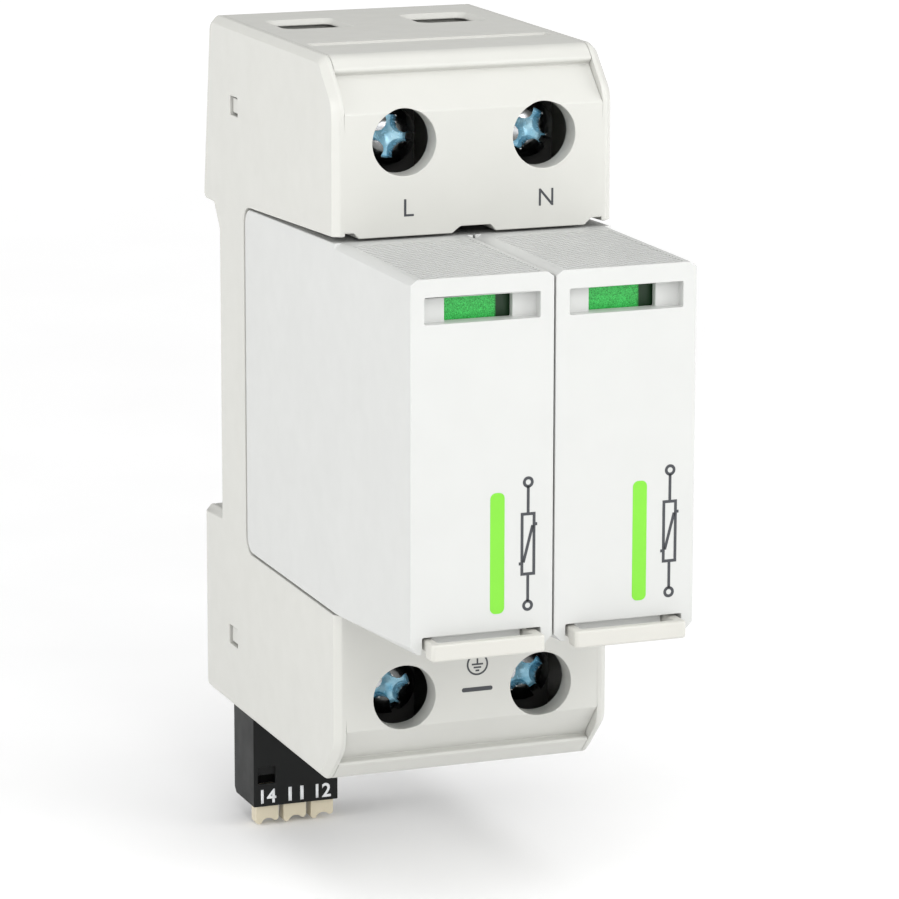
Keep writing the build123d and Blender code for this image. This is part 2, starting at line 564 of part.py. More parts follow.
for pole, x in POLES.items():
    left, right = x - MODULE_W / 2, x + MODULE_W / 2

    with BuildPart() as shell:
        slab(SHELL_OUTLINE, (left, right))
        for sign in (-1, 1):
            across = sign * GRIP_EDGE[0]
            top_corner = Plane(origin=(x + sign * MODULE_W / 2, MODULE_FRONT_Y - 1, MODULE_TOP_Z),
                               x_dir=(1, 0, 0), z_dir=(0, 1, 0))
            with BuildSketch(top_corner):
                with BuildLine():
                    Polyline((-2 * across, -GRIP_EDGE[1]), (across, 2 * GRIP_EDGE[1]),
                             (across, -GRIP_EDGE[1]), close=True)
                make_face()
            extrude(amount=GRIP_EDGE_END_Y - MODULE_FRONT_Y + 1, mode=Mode.SUBTRACT)
        # the lower corners are cut away more and more towards the front
        for sign in (-1, 1):
            corner = Plane(origin=(x + sign * MODULE_W / 2, -44.0, -22.5),
                           x_dir=(0, -25.8, 2.2), z_dir=(sign * 25.8, -2.2, -25.8))
            split(bisect_by=corner, keep=Keep.BOTTOM)
        slab(SHELL_CAVITY, (x - INNER_HALF, x + INNER_HALF), Mode.SUBTRACT)
        # status window: a shallow recess with an aperture through its middle
        block((x - WINDOW_W / 2, x + WINDOW_W / 2), (MODULE_FRONT_Y - 1, MODULE_FRONT_Y + WINDOW_DEPTH),
              WINDOW_Z, Mode.SUBTRACT)
        block((x - APERTURE_W / 2, x + APERTURE_W / 2), (MODULE_FRONT_Y, MODULE_FRONT_Y + 3.0),
              WINDOW_Z, Mode.SUBTRACT)
        # notch and channels for the handle
        block((x - HANDLE_HALF_X - 0.3, x + HANDLE_HALF_X + 0.3), (MODULE_FRONT_Y - 1, MODULE_FRONT_Y + 1.9),
              (-24.0, HANDLE_Z[1] + 0.3), Mode.SUBTRACT)
        for sign in (-1, 1):
            inner, outer = sign * (HANDLE_HALF_X - HANDLE_ARM - 0.3), sign * (HANDLE_HALF_X + 0.3)
            block(tuple(sorted((x + inner, x + outer))), (MODULE_FRONT_Y, -50.0),
                  (-24.0, HANDLE_Z[1] + 0.3), Mode.SUBTRACT)
        # diagonal grip ribs on the top, as grooves inside a plain border
        with BuildPart(mode=Mode.PRIVATE) as grooves:
            with BuildSketch(Plane.XY.offset(MODULE_TOP_Z - RIB_DEPTH)) as strips:
                with Locations(Location((x, -57.6, 0), (0, 0, RIB_ANGLE))):
                    with GridLocations(0, RIB_PITCH, 1, 44):
                        Rectangle(60, RIB_PITCH * 0.5)
                with Locations((x, -57.95)):
                    Rectangle(MODULE_W - 2.9, 23.1, mode=Mode.INTERSECT)
            extrude(amount=1.0)
        add(grooves.part, mode=Mode.SUBTRACT)
    save(shell.part, f"{pole}_module_shell")

    with BuildPart() as rear_cover:
        block((x - INNER_HALF, x + INNER_HALF), REAR_COVER_Y, (-19.6, 19.6))
        for z in (BLADE_Z, -BLADE_Z):
            block((x - BLADE_T / 2, x + BLADE_T / 2), (-14.0, -10.0),
                  (z - BLADE_H / 2, z + BLADE_H / 2), Mode.SUBTRACT)
        rod_y(x, CODING_Z[pole], CODING_R + 0.4, (-14.0, -10.0), Mode.SUBTRACT)
    save(rear_cover.part, f"{pole}_module_rear_cover")

    for end, z in (("upper", BLADE_Z), ("lower", -BLADE_Z)):
        with BuildPart() as blade:
            block((x - BLADE_T / 2, x + BLADE_T / 2), (-27.0, -4.8), (z - BLADE_H / 2, z + BLADE_H / 2))
            chamfer(blade.edges().filter_by(Axis.Z).sort_by(Axis.Y)[-2:], 0.35)
        save(blade.part, f"{pole}_{end}_blade")

    with BuildPart() as varistor:
        block((x - 0.5, x + 6.8), (-64.0, -30.0), (-16.8, 17.0))
        fillet(varistor.edges().filter_by(Axis.X), 3.0)
        fillet(varistor.faces().filter_by(Axis.X).edges(), 0.8)
        block((x - 1.1, x - 0.3), (-47.0, -41.0), (-1.0, 5.0))
    save(varistor.part, f"{pole}_varistor")

    pivot_y, pivot_z = ARM_PIVOT
    with BuildPart() as arm:
        slab([(pivot_y + 1.6, pivot_z + 0.8), (ARM_TIP_Y, pivot_z + 0.8),
              ((ARM_TIP_Y - 0.8, pivot_z), (ARM_TIP_Y, pivot_z - 0.8)),
              (pivot_y - 1.8, pivot_z - 0.8), (-46.4, 0.0), (-41.6, 0.0), (-41.6, 3.0)],
             (x - 3.0, x - 1.4))
        rod_x(pivot_y, pivot_z, 2.4, (x - 3.0, x - 1.4))
        rod_x(pivot_y, pivot_z, PIN_R + RUNNING, (x - 4.0, x), Mode.SUBTRACT)
    save(arm.part, f"{pole}_disconnect_arm")

    with BuildPart() as arm_pin:
        rod_x(pivot_y, pivot_z, PIN_R, (x - INNER_HALF, x - 0.9))
    save(arm_pin.part, f"{pole}_arm_pin")

    spring = coil(1.4, 0.4, 21.3 - pivot_z - 1.3, 4)
    save(spring.moved(Location((x - 2.2, -58.0, pivot_z + 1.05))), f"{pole}_disconnect_spring")

    with BuildPart() as flag:
        block((x - 4.9, x + 4.9), (-67.0, -66.2), (17.4, 21.2))
        block((x - 4.4, x - 1.0), (-67.0, -66.2), (11.0, 17.5))
        for z in (15.4, 12.2):
            block((x - 4.4, x - 1.0), (-66.3, -63.8), (z, z + 1.0))
    save(flag.part, f"{pole}_status_flag")

    with BuildPart() as backing:
        block((x - 5.6, x + 5.6), (-65.8, -65.0), (17.2, 21.5))
    save(backing.part, f"{pole}_status_backing")

    with BuildPart() as handle:
        block((x - HANDLE_HALF_X, x + HANDLE_HALF_X), (HANDLE_FRONT_Y, HANDLE_FRONT_Y + 1.2), HANDLE_Z)
        for sign in (-1, 1):
            ends = sorted((x + sign * (HANDLE_HALF_X - HANDLE_ARM), x + sign * HANDLE_HALF_X))
            block(tuple(ends), (HANDLE_FRONT_Y, MODULE_FRONT_Y - 0.1), HANDLE_Z)
            block(tuple(ends), (HANDLE_FRONT_Y, -50.8), (-20.9, HANDLE_Z[1]))
        fillet(handle.edges().filter_by(Axis.Z).sort_by(Axis.Y)[:2], 0.5)
    save(handle.part, f"{pole}_module_handle")
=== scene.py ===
import json
import math

import bmesh
import bpy
from mathutils import Matrix, Vector

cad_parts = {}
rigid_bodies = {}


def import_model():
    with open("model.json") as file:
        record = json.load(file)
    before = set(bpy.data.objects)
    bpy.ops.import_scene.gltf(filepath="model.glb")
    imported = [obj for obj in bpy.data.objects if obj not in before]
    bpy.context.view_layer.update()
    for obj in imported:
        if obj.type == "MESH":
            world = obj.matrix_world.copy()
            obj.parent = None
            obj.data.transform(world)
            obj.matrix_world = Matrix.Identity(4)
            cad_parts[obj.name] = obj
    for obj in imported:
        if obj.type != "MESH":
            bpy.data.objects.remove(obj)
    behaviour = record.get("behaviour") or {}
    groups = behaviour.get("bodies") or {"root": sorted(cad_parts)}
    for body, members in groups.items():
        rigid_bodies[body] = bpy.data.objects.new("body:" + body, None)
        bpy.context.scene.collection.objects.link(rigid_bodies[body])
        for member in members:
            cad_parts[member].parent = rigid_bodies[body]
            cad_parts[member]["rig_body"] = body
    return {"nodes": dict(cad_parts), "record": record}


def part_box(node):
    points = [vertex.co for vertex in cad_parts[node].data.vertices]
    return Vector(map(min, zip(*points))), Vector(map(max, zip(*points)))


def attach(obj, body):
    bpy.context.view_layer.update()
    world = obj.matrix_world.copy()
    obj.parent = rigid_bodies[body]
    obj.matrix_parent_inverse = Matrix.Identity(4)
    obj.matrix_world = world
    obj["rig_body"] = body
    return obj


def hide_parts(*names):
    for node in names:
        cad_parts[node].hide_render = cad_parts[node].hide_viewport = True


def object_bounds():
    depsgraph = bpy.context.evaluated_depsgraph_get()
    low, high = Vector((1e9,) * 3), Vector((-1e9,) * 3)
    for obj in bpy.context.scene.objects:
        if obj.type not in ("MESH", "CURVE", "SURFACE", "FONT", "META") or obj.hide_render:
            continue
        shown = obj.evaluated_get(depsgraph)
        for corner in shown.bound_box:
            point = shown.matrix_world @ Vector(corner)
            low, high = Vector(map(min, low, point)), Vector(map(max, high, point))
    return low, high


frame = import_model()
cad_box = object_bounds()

MM = 0.001
NODES = frame["nodes"]
POLES = ("line", "neutral")
POLE_PITCH = 18.0
FLAG_SHADOW_EDGES = (11.45, 11.75)  # where a painted shadow starts to darken the flag's green, across each pole's pitch


# ---------------------------------------------------------------- materials
class Shade:
    """A Principled material whose pattern is made from noise in object space."""

    def __init__(self, name, metallic=0.0):
        self.mat = bpy.data.materials.new(name)
        self.mat.use_nodes = True
        self.nt = self.mat.node_tree
        self.bsdf = self.nt.nodes["Principled BSDF"]
        self.bsdf.inputs["Metallic"].default_value = metallic
        self.coord = self.nt.nodes.new("ShaderNodeTexCoord").outputs["Object"]
        self.height = None

    def link(self, a, b):
        self.nt.links.new(a, b)
        return b

    def noise(self, size_mm, detail=2.0, stretch=(1, 1, 1)):
        """Noise from 0 to 1 whose features are about size_mm across."""
        mapping = self.nt.nodes.new("ShaderNodeMapping")
        mapping.inputs["Scale"].default_value = stretch
        self.link(self.coord, mapping.inputs["Vector"])
        tex = self.nt.nodes.new("ShaderNodeTexNoise")
        tex.inputs["Scale"].default_value = 1.0 / (size_mm * MM)
        tex.inputs["Detail"].default_value = detail
        self.link(mapping.outputs["Vector"], tex.inputs["Vector"])
        return tex.outputs["Fac"]

    def ramp(self, value, low, high, start=0.3, end=0.7):
        """Maps noise onto colours (tuples) or onto numbers."""
        if isinstance(low, tuple):
            ramp = self.nt.nodes.new("ShaderNodeValToRGB")
            ramp.color_ramp.elements[0].position = start
            ramp.color_ramp.elements[0].color = (*low, 1)
            ramp.color_ramp.elements[1].position = end
            ramp.color_ramp.elements[1].color = (*high, 1)
            self.link(value, ramp.inputs["Fac"])
            return ramp.outputs["Color"]
        span = self.nt.nodes.new("ShaderNodeMapRange")
        for key, number in (("From Min", start), ("From Max", end), ("To Min", low), ("To Max", high)):
            span.inputs[key].default_value = number
        self.link(value, span.inputs["Value"])
        return span.outputs["Result"]

    def colour(self, socket):
        self.link(socket, self.bsdf.inputs["Base Color"])

    def rough(self, socket):
        self.link(socket, self.bsdf.inputs["Roughness"])

    def bump(self, value, depth_mm):
        """Adds one layer of relief."""
        node = self.nt.nodes.new("ShaderNodeBump")
        node.inputs["Strength"].default_value = 1.0
        node.inputs["Distance"].default_value = depth_mm * MM
        self.link(value, node.inputs["Height"])
        if self.height is not None:
            self.link(self.height, node.inputs["Normal"])
        self.height = node.outputs["Normal"]
        self.link(self.height, self.bsdf.inputs["Normal"])


def linear(r, g, b):
    """Linear colour from 0-255 display values."""
    return tuple(((c / 255 + 0.055) / 1.055) ** 2.4 if c > 10 else c / 255 / 12.92 for c in (r, g, b))


def toned(rgb, factor):
    return tuple(min(1.0, c * factor) for c in rgb)


def moulded(name, rgb, roughness, spread=0.012, grain=0.16, relief=0.0009, specular=0.5):
    """Injection-moulded plastic: faint mottling, fine spark-eroded texture, uneven gloss."""
    s = Shade(name)
    s.colour(s.ramp(s.noise(7.0, 3.0), toned(rgb, 1 - spread), toned(rgb, 1 + spread)))
    s.rough(s.ramp(s.noise(3.0, 2.0), roughness - 0.04, roughness + 0.04))
    s.bump(s.noise(grain, 1.0), relief)
    s.bump(s.noise(9.0, 1.0), relief * 6)
    s.bsdf.inputs["Specular IOR Level"].default_value = specular
    return s.mat


def metal(name, rgb, tint, roughness, relief=0.002, stretch=(1, 1, 1), metallic=1.0):
    """Plated or rolled metal: passivation tint in patches, fine lines and uneven gloss."""
    s = Shade(name, metallic)
    s.colour(s.ramp(s.noise(1.6, 3.0), rgb, tint))
    s.rough(s.ramp(s.noise(0.5, 2.0), roughness - 0.07, roughness + 0.07))
    s.bump(s.noise(0.12, 2.0, stretch), relief)
    return s.mat


INKS = {"ink_dark": (52, 54, 58), "ink_green": (110, 190, 40), "ink_white": (226, 228, 230)}


def flag_green():
    """Speckled green with a painted shadow darkening it under the right-hand edge of each pole's window."""
    s = Shade("flag_green")
    speckle = s.noise(0.09, 2.0)
    split = s.nt.nodes.new("ShaderNodeSeparateXYZ")
    s.link(s.coord, split.inputs[0])
    across = s.nt.nodes.new("ShaderNodeMath")
    across.operation = "WRAP"
    across.inputs[1].default_value = POLE_PITCH * MM
    across.inputs[2].default_value = 0.0
    s.link(split.outputs["X"], across.inputs[0])
    # painted shadow: a smooth step across each pole's pitch, next to the window's right-hand wall
    turn = s.nt.nodes.new("ShaderNodeMapRange")
    turn.interpolation_type = "SMOOTHSTEP"
    turn.inputs["From Min"].default_value = FLAG_SHADOW_EDGES[0] * MM
    turn.inputs["From Max"].default_value = FLAG_SHADOW_EDGES[1] * MM
    s.link(across.outputs[0], turn.inputs["Value"])
    mix = s.nt.nodes.new("ShaderNodeMix")
    mix.data_type = "RGBA"
    s.link(turn.outputs["Result"], mix.inputs[0])
    s.link(s.ramp(speckle, linear(6, 128, 40), linear(60, 206, 92), 0.36, 0.64), mix.inputs[6])
    # the dark green of the painted shadow
    mix.inputs[7].default_value = (*linear(0, 44, 10), 1.0)
    s.colour(mix.outputs[2])
    s.rough(s.ramp(s.noise(0.8), 0.38, 0.52))
    s.bump(speckle, 0.006)
    return s.mat


def make_materials():
    m = {
        "base_housing": moulded("base_housing", linear(186, 186, 181), 0.42),
        "module_housing": moulded("module_housing", linear(186, 187, 185), 0.40),
        "handle_plastic": moulded("handle_plastic", linear(184, 183, 177), 0.38, grain=0.2, relief=0.002),
        "latch_plastic": moulded("latch_plastic", linear(70, 72, 74), 0.45),
        "black_plastic": moulded("black_plastic", linear(32, 33, 33), 0.42, 0.06, specular=0.10),
        # a dark colour for faces deep inside the base: painted shade in the hollows
        "inside_painted_shade": moulded("inside_painted_shade", linear(46, 46, 44), 0.6, 0.04),
        "ivory_plastic": moulded("ivory_plastic", linear(204, 195, 172), 0.42, 0.02),
        "flag_red": moulded("flag_red", linear(196, 32, 28), 0.42, 0.05),
        # screw_steel: a darkened metal colour, a painted dark reflection on the screw domes
        "screw_steel": metal("screw_steel", (0.30, 0.31, 0.32), (0.48, 0.49, 0.50), 0.18),
        "zinc_steel": metal("zinc_steel", (0.55, 0.57, 0.58), (0.66, 0.67, 0.66), 0.34),
        "spring_steel": metal("spring_steel", (0.38, 0.38, 0.39), (0.50, 0.50, 0.50), 0.30),
        "tinned_copper": metal("tinned_copper", (0.62, 0.61, 0.58), (0.74, 0.72, 0.68), 0.30),
        "varistor_coating": moulded("varistor_coating", linear(28, 52, 110), 0.35, 0.08, 0.6, 0.012),
        "circuit_board": moulded("circuit_board", linear(20, 88, 52), 0.40, 0.10),
    }
    m["flag_green"] = flag_green()
    for key, rgb in INKS.items():
        m[key] = moulded(key, linear(*rgb), 0.5, 0.03, 0.1, 0.002)
    # driver recess of the screws: a painted reflection, light bluish and less metallic than the dome
    m["screw_recess_painted_reflection"] = metal("screw_recess_painted_reflection", (0.13, 0.42, 0.60), (0.50, 0.78, 0.90), 0.24, 0.006,
                              (1, 0.3, 1), 0.3)
    return m


MAT = make_materials()


# ---------------------------------------------------------------- mesh helpers
def new_piece(name, mesh, material, body, replaces=(), second=None):
    """A visible piece; faces numbered 1 take the second material."""
    numbers = [polygon.material_index for polygon in mesh.polygons]
    obj = bpy.data.objects.new(name, mesh)
    bpy.context.scene.collection.objects.link(obj)
    mesh.materials.clear()
    mesh.materials.append(MAT[material])
    if second:
        mesh.materials.append(MAT[second])
        for polygon, number in zip(mesh.polygons, numbers):
            polygon.material_index = number
    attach(obj, body)
    if replaces:
        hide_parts(*replaces)
    return obj


def shade(mesh, limit=32.0):
    """Smooth shading that stays crisp at edges sharper than limit degrees."""
    bm = bmesh.new()
    bm.from_mesh(mesh)
    for face in bm.faces:
        face.smooth = True
    for edge in bm.edges:
        edge.smooth = not (len(edge.link_faces) == 2 and edge.calc_face_angle() > math.radians(limit))
    bm.to_mesh(mesh)
    bm.free()


def weigh_normals(obj):
    mod = obj.modifiers.new("weighted", "WEIGHTED_NORMAL")
    mod.keep_sharp = True
    mod.weight = 70


def soften(node, width_mm, slot, segments=2, skip=None, limit=28.0, inside=None):
    """The CAD shape with every moulded edge rounded by width_mm, as its own mesh."""
    bm = bmesh.new()
    bm.from_mesh(NODES[node].data)
    bmesh.ops.remove_doubles(bm, verts=bm.verts[:], dist=2e-6)
    bmesh.ops.dissolve_limit(bm, angle_limit=math.radians(0.6), verts=bm.verts[:], edges=bm.edges[:])
    sharp = [
        e for e in bm.edges
        if len(e.link_faces) == 2 and e.calc_face_angle(0.0) > math.radians(limit) and not (skip and skip(e))
    ]
    bmesh.ops.bevel(bm, geom=sharp, offset=width_mm * MM, offset_type="OFFSET", segments=segments,
                    profile=0.5, affect="EDGES", clamp_overlap=False, miter_outer="ARC", miter_inner="SHARP")
    # faces picked by the inside test take the dark painted-shade material
    if inside:
        for face in bm.faces:
            face.material_index = 1 if inside(face.calc_center_median() / MM) else 0
    mesh = bpy.data.meshes.new(node + "_soft")
    bm.to_mesh(mesh)
    bm.free()
    shade(mesh, 40.0)
    obj = new_piece(node + "_moulding", mesh, slot, body_of(node), (node,),
                    "inside_painted_shade" if inside else None)
    weigh_normals(obj)
    return obj


def body_of(node):
    return NODES[node]["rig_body"]


# ---------------------------------------------------------------- camera, floor and lights
CAMERA_TURN = (-21.05, 12.64, 0.11)  # azimuth, elevation and roll, in degrees
CAMERA_DISTANCE = 565.5
CAMERA_AIM = (0.0, -30.0, 0.0)
AIM_SHIFT = (2.09, -6.18)  # of the aim, to the right and up as the camera sees it
FOCAL_LENGTH = 4543.7 / 899.0  # in sensor widths
CLIP = (0.01, 20.0)

FLOOR_SIZE = 3.0
FLOOR_GAP = 0.0002
FLOOR_GLOW = (0.05, 0.52)
FLOOR_GLOW_REACH = (0.15, 0.8)  # distances from the object over which the glow grows, in metres
WORLD_STRENGTH = 0.46
LIGHT_AIM = (0.0, -0.03, -0.01)
LIGHTS = {  # place and size in metres, power in watts
    "front_left": ((-0.45, -0.62, 0.22), (0.5, 0.6), 0.3),
    "front_high": ((-0.05, -0.68, 0.48), (0.6, 0.5), 2.6),
    "front": ((-0.05, -0.85, 0.12), (0.6, 0.5), 0.8),
    "right": ((0.75, -0.50, 0.15), (0.5, 0.7), 5.6),
    "left": ((-0.75, -0.10, 0.10), (0.6, 0.7), 5.0),
    "overhead": ((0.0, -0.05, 0.8), (0.7, 0.7), 1.15),
    "top_front": ((0.0, -0.42, 0.72), (0.6, 0.5), 1.6),
}


def camera():
    azimuth, elevation, roll = (math.radians(v) for v in CAMERA_TURN)
    back = Vector((math.sin(azimuth) * math.cos(elevation),
                   -math.cos(azimuth) * math.cos(elevation), math.sin(elevation)))
    right = Vector((math.cos(azimuth), math.sin(azimuth), 0.0))
    up = back.cross(right)
    target = Vector(CAMERA_AIM) + right * AIM_SHIFT[0] + up * AIM_SHIFT[1]
    side = right * math.cos(roll) + up * math.sin(roll)
    top = up * math.cos(roll) - right * math.sin(roll)
    data = bpy.data.cameras.new("camera")
    data.lens = FOCAL_LENGTH * data.sensor_width
    data.clip_start, data.clip_end = CLIP
    cam = bpy.data.objects.new("camera", data)
    bpy.context.scene.collection.objects.link(cam)
    turn = Matrix((side, top, back)).transposed().to_4x4()
    cam.matrix_world = Matrix.Translation((target + back * CAMERA_DISTANCE) * MM) @ turn
    bpy.context.scene.camera = cam


def area_light(name, place, aim, size, power):
    data = bpy.data.lights.new(name, "AREA")
    data.shape = "RECTANGLE"
    data.size, data.size_y = size
    data.energy = power
    lamp = bpy.data.objects.new(name, data)
    bpy.context.scene.collection.objects.link(lamp)
    place, aim = Vector(place), Vector(aim)
    lamp.matrix_world = Matrix.Translation(place) @ (place - aim).to_track_quat("Z", "Y").to_matrix().to_4x4()


def studio():
    lo, _ = cad_box
    floor_mesh = bpy.data.meshes.new("floor")
    bm = bmesh.new()
    bmesh.ops.create_grid(bm, x_segments=1, y_segments=1, size=FLOOR_SIZE)
    bm.to_mesh(floor_mesh)
    bm.free()
    floor = bpy.data.objects.new("floor", floor_mesh)
    bpy.context.scene.collection.objects.link(floor)
    floor.location = (0, 0, lo.z - FLOOR_GAP)
    s = Shade("floor")
    s.colour(s.ramp(s.noise(40.0), (0.86, 0.86, 0.86), (0.88, 0.88, 0.88)))
    s.bsdf.inputs["Roughness"].default_value = 0.9
    s.bsdf.inputs["Specular IOR Level"].default_value = 0.0
    s.bsdf.inputs["Emission Color"].default_value = (1, 1, 1, 1)
    # the floor glows more the further it lies from the object, so its far end stays white
    place = s.nt.nodes.new("ShaderNodeNewGeometry")
    reach = s.nt.nodes.new("ShaderNodeVectorMath")
    reach.operation = "LENGTH"
    s.link(place.outputs["Position"], reach.inputs[0])
    s.link(s.ramp(reach.outputs["Value"], *FLOOR_GLOW, *FLOOR_GLOW_REACH), s.bsdf.inputs["Emission Strength"])
    floor_mesh.materials.append(s.mat)

    world = bpy.data.worlds.new("studio")
    world.use_nodes = True
    background = world.node_tree.nodes["Background"]
    background.inputs["Color"].default_value = (1, 1, 1, 1)
    background.inputs["Strength"].default_value = WORLD_STRENGTH
    bpy.context.scene.world = world
    bpy.context.scene.view_settings.view_transform = "Standard"

    for name, (place, size, power) in LIGHTS.items():
        area_light(name, place, LIGHT_AIM, size, power)


camera()
studio()

# ---------------------------------------------------------------- CAD nodes keep their slot's finish
for entry in frame["record"]["subparts"]:
    data = NODES[entry["node"]].data
    data.materials.clear()
    data.materials.append(MAT[entry["material_slot"]])

# ---------------------------------------------------------------- housings with rounded edges
COVER_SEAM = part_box("side_cover_right")[0].x
FRONT_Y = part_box("side_cover_right")[0].y
RIB_BAND = 0.4  # the ribs lie within this much of the module's top
RIB_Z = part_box("line_module_shell")[1].z - RIB_BAND * MM
HOUSING_EDGE = 0.14
HANDLE_EDGE = 0.3
PLUG_EDGE = 0.12
LATCH_EDGE = 0.2

# limits of the hollow inside the base, in mm; its faces are painted dark as painted shade
CHAMBER_FRONT_Y = -41.3
UPPER_CHAMBER_BACK_Y = 8.3
LOWER_CHAMBER_BACK_Y = 3.3
BACK_SLANT = 0.125
CHAMBER_Z = (24.0, 43.3)
CHAMBER_CORNER = 81.2  # of z - y, where the front corners slope
SPINE_Y = (-9.4, -1.4)
SPINE_HALF_Z = 25.0
CAVITY_HALF_X = 16.65


def on_cover_seam(edge):
    """The joint between base and cover is tight across the front, so it isn't rounded there."""
    return all(abs(abs(v.co.x) - COVER_SEAM) < 1e-5 and v.co.y < FRONT_Y + 2e-5 for v in edge.verts)


def in_ribs(edge):
    return min(v.co.z for v in edge.verts) > RIB_Z


def painted_shade_cavity(c):
    """Faces of the terminal chambers and of the space behind the pocket wall, which are painted dark as
    painted shade.
    """
    chamber_back = UPPER_CHAMBER_BACK_Y - BACK_SLANT * c.z if c.z > 0 else LOWER_CHAMBER_BACK_Y
    chamber = CHAMBER_FRONT_Y < c.y < chamber_back and CHAMBER_Z[0] < abs(c.z) < CHAMBER_Z[1]
    chamber = chamber and abs(c.z) - c.y < CHAMBER_CORNER
    spine = SPINE_Y[0] < c.y < SPINE_Y[1] and abs(c.z) < SPINE_HALF_Z
    return (chamber or spine) and abs(c.x) < CAVITY_HALF_X


soften("base_body", HOUSING_EDGE, "base_housing", skip=on_cover_seam, inside=painted_shade_cavity)
for side in ("left", "right"):
    soften("side_cover_" + side, HOUSING_EDGE, "base_housing", skip=on_cover_seam)
for pole in POLES:
    soften(pole + "_module_shell", HOUSING_EDGE, "module_housing", skip=in_ribs)
    soften(pole + "_module_handle", HANDLE_EDGE, "handle_plastic", 3)
soften("signal_plug", PLUG_EDGE, "black_plastic")
for way in ("14", "11", "12"):
    soften("signal_lever_" + way, PLUG_EDGE, "ivory_plastic")
soften("rail_latch", LATCH_EDGE, "latch_plastic")


# ---------------------------------------------------------------- terminal screws
THREAD_PITCH = 0.8
SHANK_R = 2.5
THREAD_ROOT_R = 2.18
THREAD_START = 2.0  # behind the head
HEAD_DEPTH = 3.0
DOME_RISE = 1.23
HEAD_RIM_R = 0.3
RECESS_R = 2.62
RECESS_DEPTH = 2.1
RECESS_TAPER = 0.42
LAND_CENTRE = 1.86  # of the rounded lands between the arms of the cross
LAND_R = 1.32
SLOT_HALF_WIDTH = 0.52
SLOT_DEPTH = 1.15
SCREW_TURN = {"line_upper": -6, "neutral_upper": -34, "line_lower": -72, "neutral_lower": -55}


def recess_depth(x, z, turn):
    """Depth in mm of the cross recess and slot below the dome at a point of the head."""
    c, t = math.cos(turn), math.sin(turn)
    a, b = abs(c * x + t * z), abs(-t * x + c * z)
    r = math.hypot(a, b)
    land = LAND_R - math.hypot(a - LAND_CENTRE, b - LAND_CENTRE)
    wall = min(max((RECESS_R - r) / 0.16, 0.0), 1.0) * min(max(-land / 0.14, 0.0), 1.0)
    cross = wall * (RECESS_DEPTH - RECESS_TAPER * r)
    slot = min(max((SLOT_HALF_WIDTH - b) / 0.1, 0.0), 1.0) * SLOT_DEPTH
    return max(cross, slot)


def turned_screw(name):
    """Domed head with a cross recess and slot, an undercut and a rolled thread."""
    node = name + "_terminal_screw"
    lo, hi = (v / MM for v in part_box(node))
    turn = math.radians(SCREW_TURN[name])
    middle_x, middle_z, radius = (lo.x + hi.x) / 2, (lo.z + hi.z) / 2, (hi.x - lo.x) / 2
    top, back = lo.y, lo.y + HEAD_DEPTH
    profile = [(radius, back - 0.12), (radius - 0.12, back), (SHANK_R, back), (SHANK_R, back + 1.6)]
    y = back + THREAD_START
    while y < hi.y - 1.4:
        profile += [(THREAD_ROOT_R, y), (THREAD_ROOT_R, y + 0.16), (SHANK_R, y + 0.38), (SHANK_R, y + 0.5)]
        y += THREAD_PITCH
    profile += [(THREAD_ROOT_R, y), (1.7, hi.y), (0.0, hi.y)]
    segments, rings = 112, 52
    bm = bmesh.new()
    rows = []
    for i in range(1, rings + 1):
        r = radius * i / rings
        rim = max(0.0, r - radius + HEAD_RIM_R)
        rim_drop = HEAD_RIM_R - math.sqrt(max(0.0, HEAD_RIM_R ** 2 - rim ** 2))
        y_dome = top + DOME_RISE * (r / radius) ** 2 + rim_drop
        row = []
        for k in range(segments):
            angle = 2 * math.pi * k / segments
            x, z = r * math.cos(angle), r * math.sin(angle)
            row.append(bm.verts.new((middle_x + x, y_dome + recess_depth(x, z, turn), middle_z + z)))
        rows.append(row)
    for r, y in profile[:-1]:
        rows.append([
            bm.verts.new((middle_x + r * math.cos(2 * math.pi * k / segments), y,
                          middle_z + r * math.sin(2 * math.pi * k / segments)))
            for k in range(segments)
        ])
    centre = bm.verts.new((middle_x, top + recess_depth(0, 0, turn), middle_z))
    tip = bm.verts.new((middle_x, hi.y, middle_z))
    for k in range(segments):
        following = (k + 1) % segments
        bm.faces.new((centre, rows[0][k], rows[0][following]))
        bm.faces.new((tip, rows[-1][following], rows[-1][k]))
        for inner, outer in zip(rows, rows[1:]):
            bm.faces.new((inner[k], outer[k], outer[following], inner[following]))
    bmesh.ops.recalc_face_normals(bm, faces=bm.faces[:])
    for face in bm.faces:
        c = face.calc_center_median()
        x, z = c.x - middle_x, c.z - middle_z
        # faces deep in the recess take the lighter bluish painted reflection
        if c.y < back and math.hypot(x, z) < 2.6 and recess_depth(x, z, turn) > 0.45:
            face.material_index = 1
    bmesh.ops.scale(bm, vec=(MM, MM, MM), verts=bm.verts[:])
    mesh = bpy.data.meshes.new(node)
    bm.to_mesh(mesh)
    bm.free()
    shade(mesh, 50.0)
    new_piece(node + "_turned", mesh, "screw_steel", body_of(node), (node,), "screw_recess_painted_reflection")


for name in SCREW_TURN:
    turned_screw(name)


# ---------------------------------------------------------------- printed marks
INK = 0.018


def print_mesh(name, outlines, y, body, ink):
    """Closed XZ outlines, in mm, printed as a thin film on the face at y, in metres."""
    bm = bmesh.new()
    for outline in outlines:
        for depth in (-INK, INK / 2):
            ring = [bm.verts.new((x * MM, y + depth * MM, z * MM)) for x, z in outline]
            bm.faces.new(ring)
            if depth < 0:
                front = ring
        for k in range(len(outline)):
            n = (k + 1) % len(outline)
            bm.faces.new((front[k], front[n], ring[n], ring[k]))
    bmesh.ops.recalc_face_normals(bm, faces=bm.faces[:])
    mesh = bpy.data.meshes.new(name)
    bm.to_mesh(mesh)
    bm.free()
    return new_piece(name, mesh, ink, body)


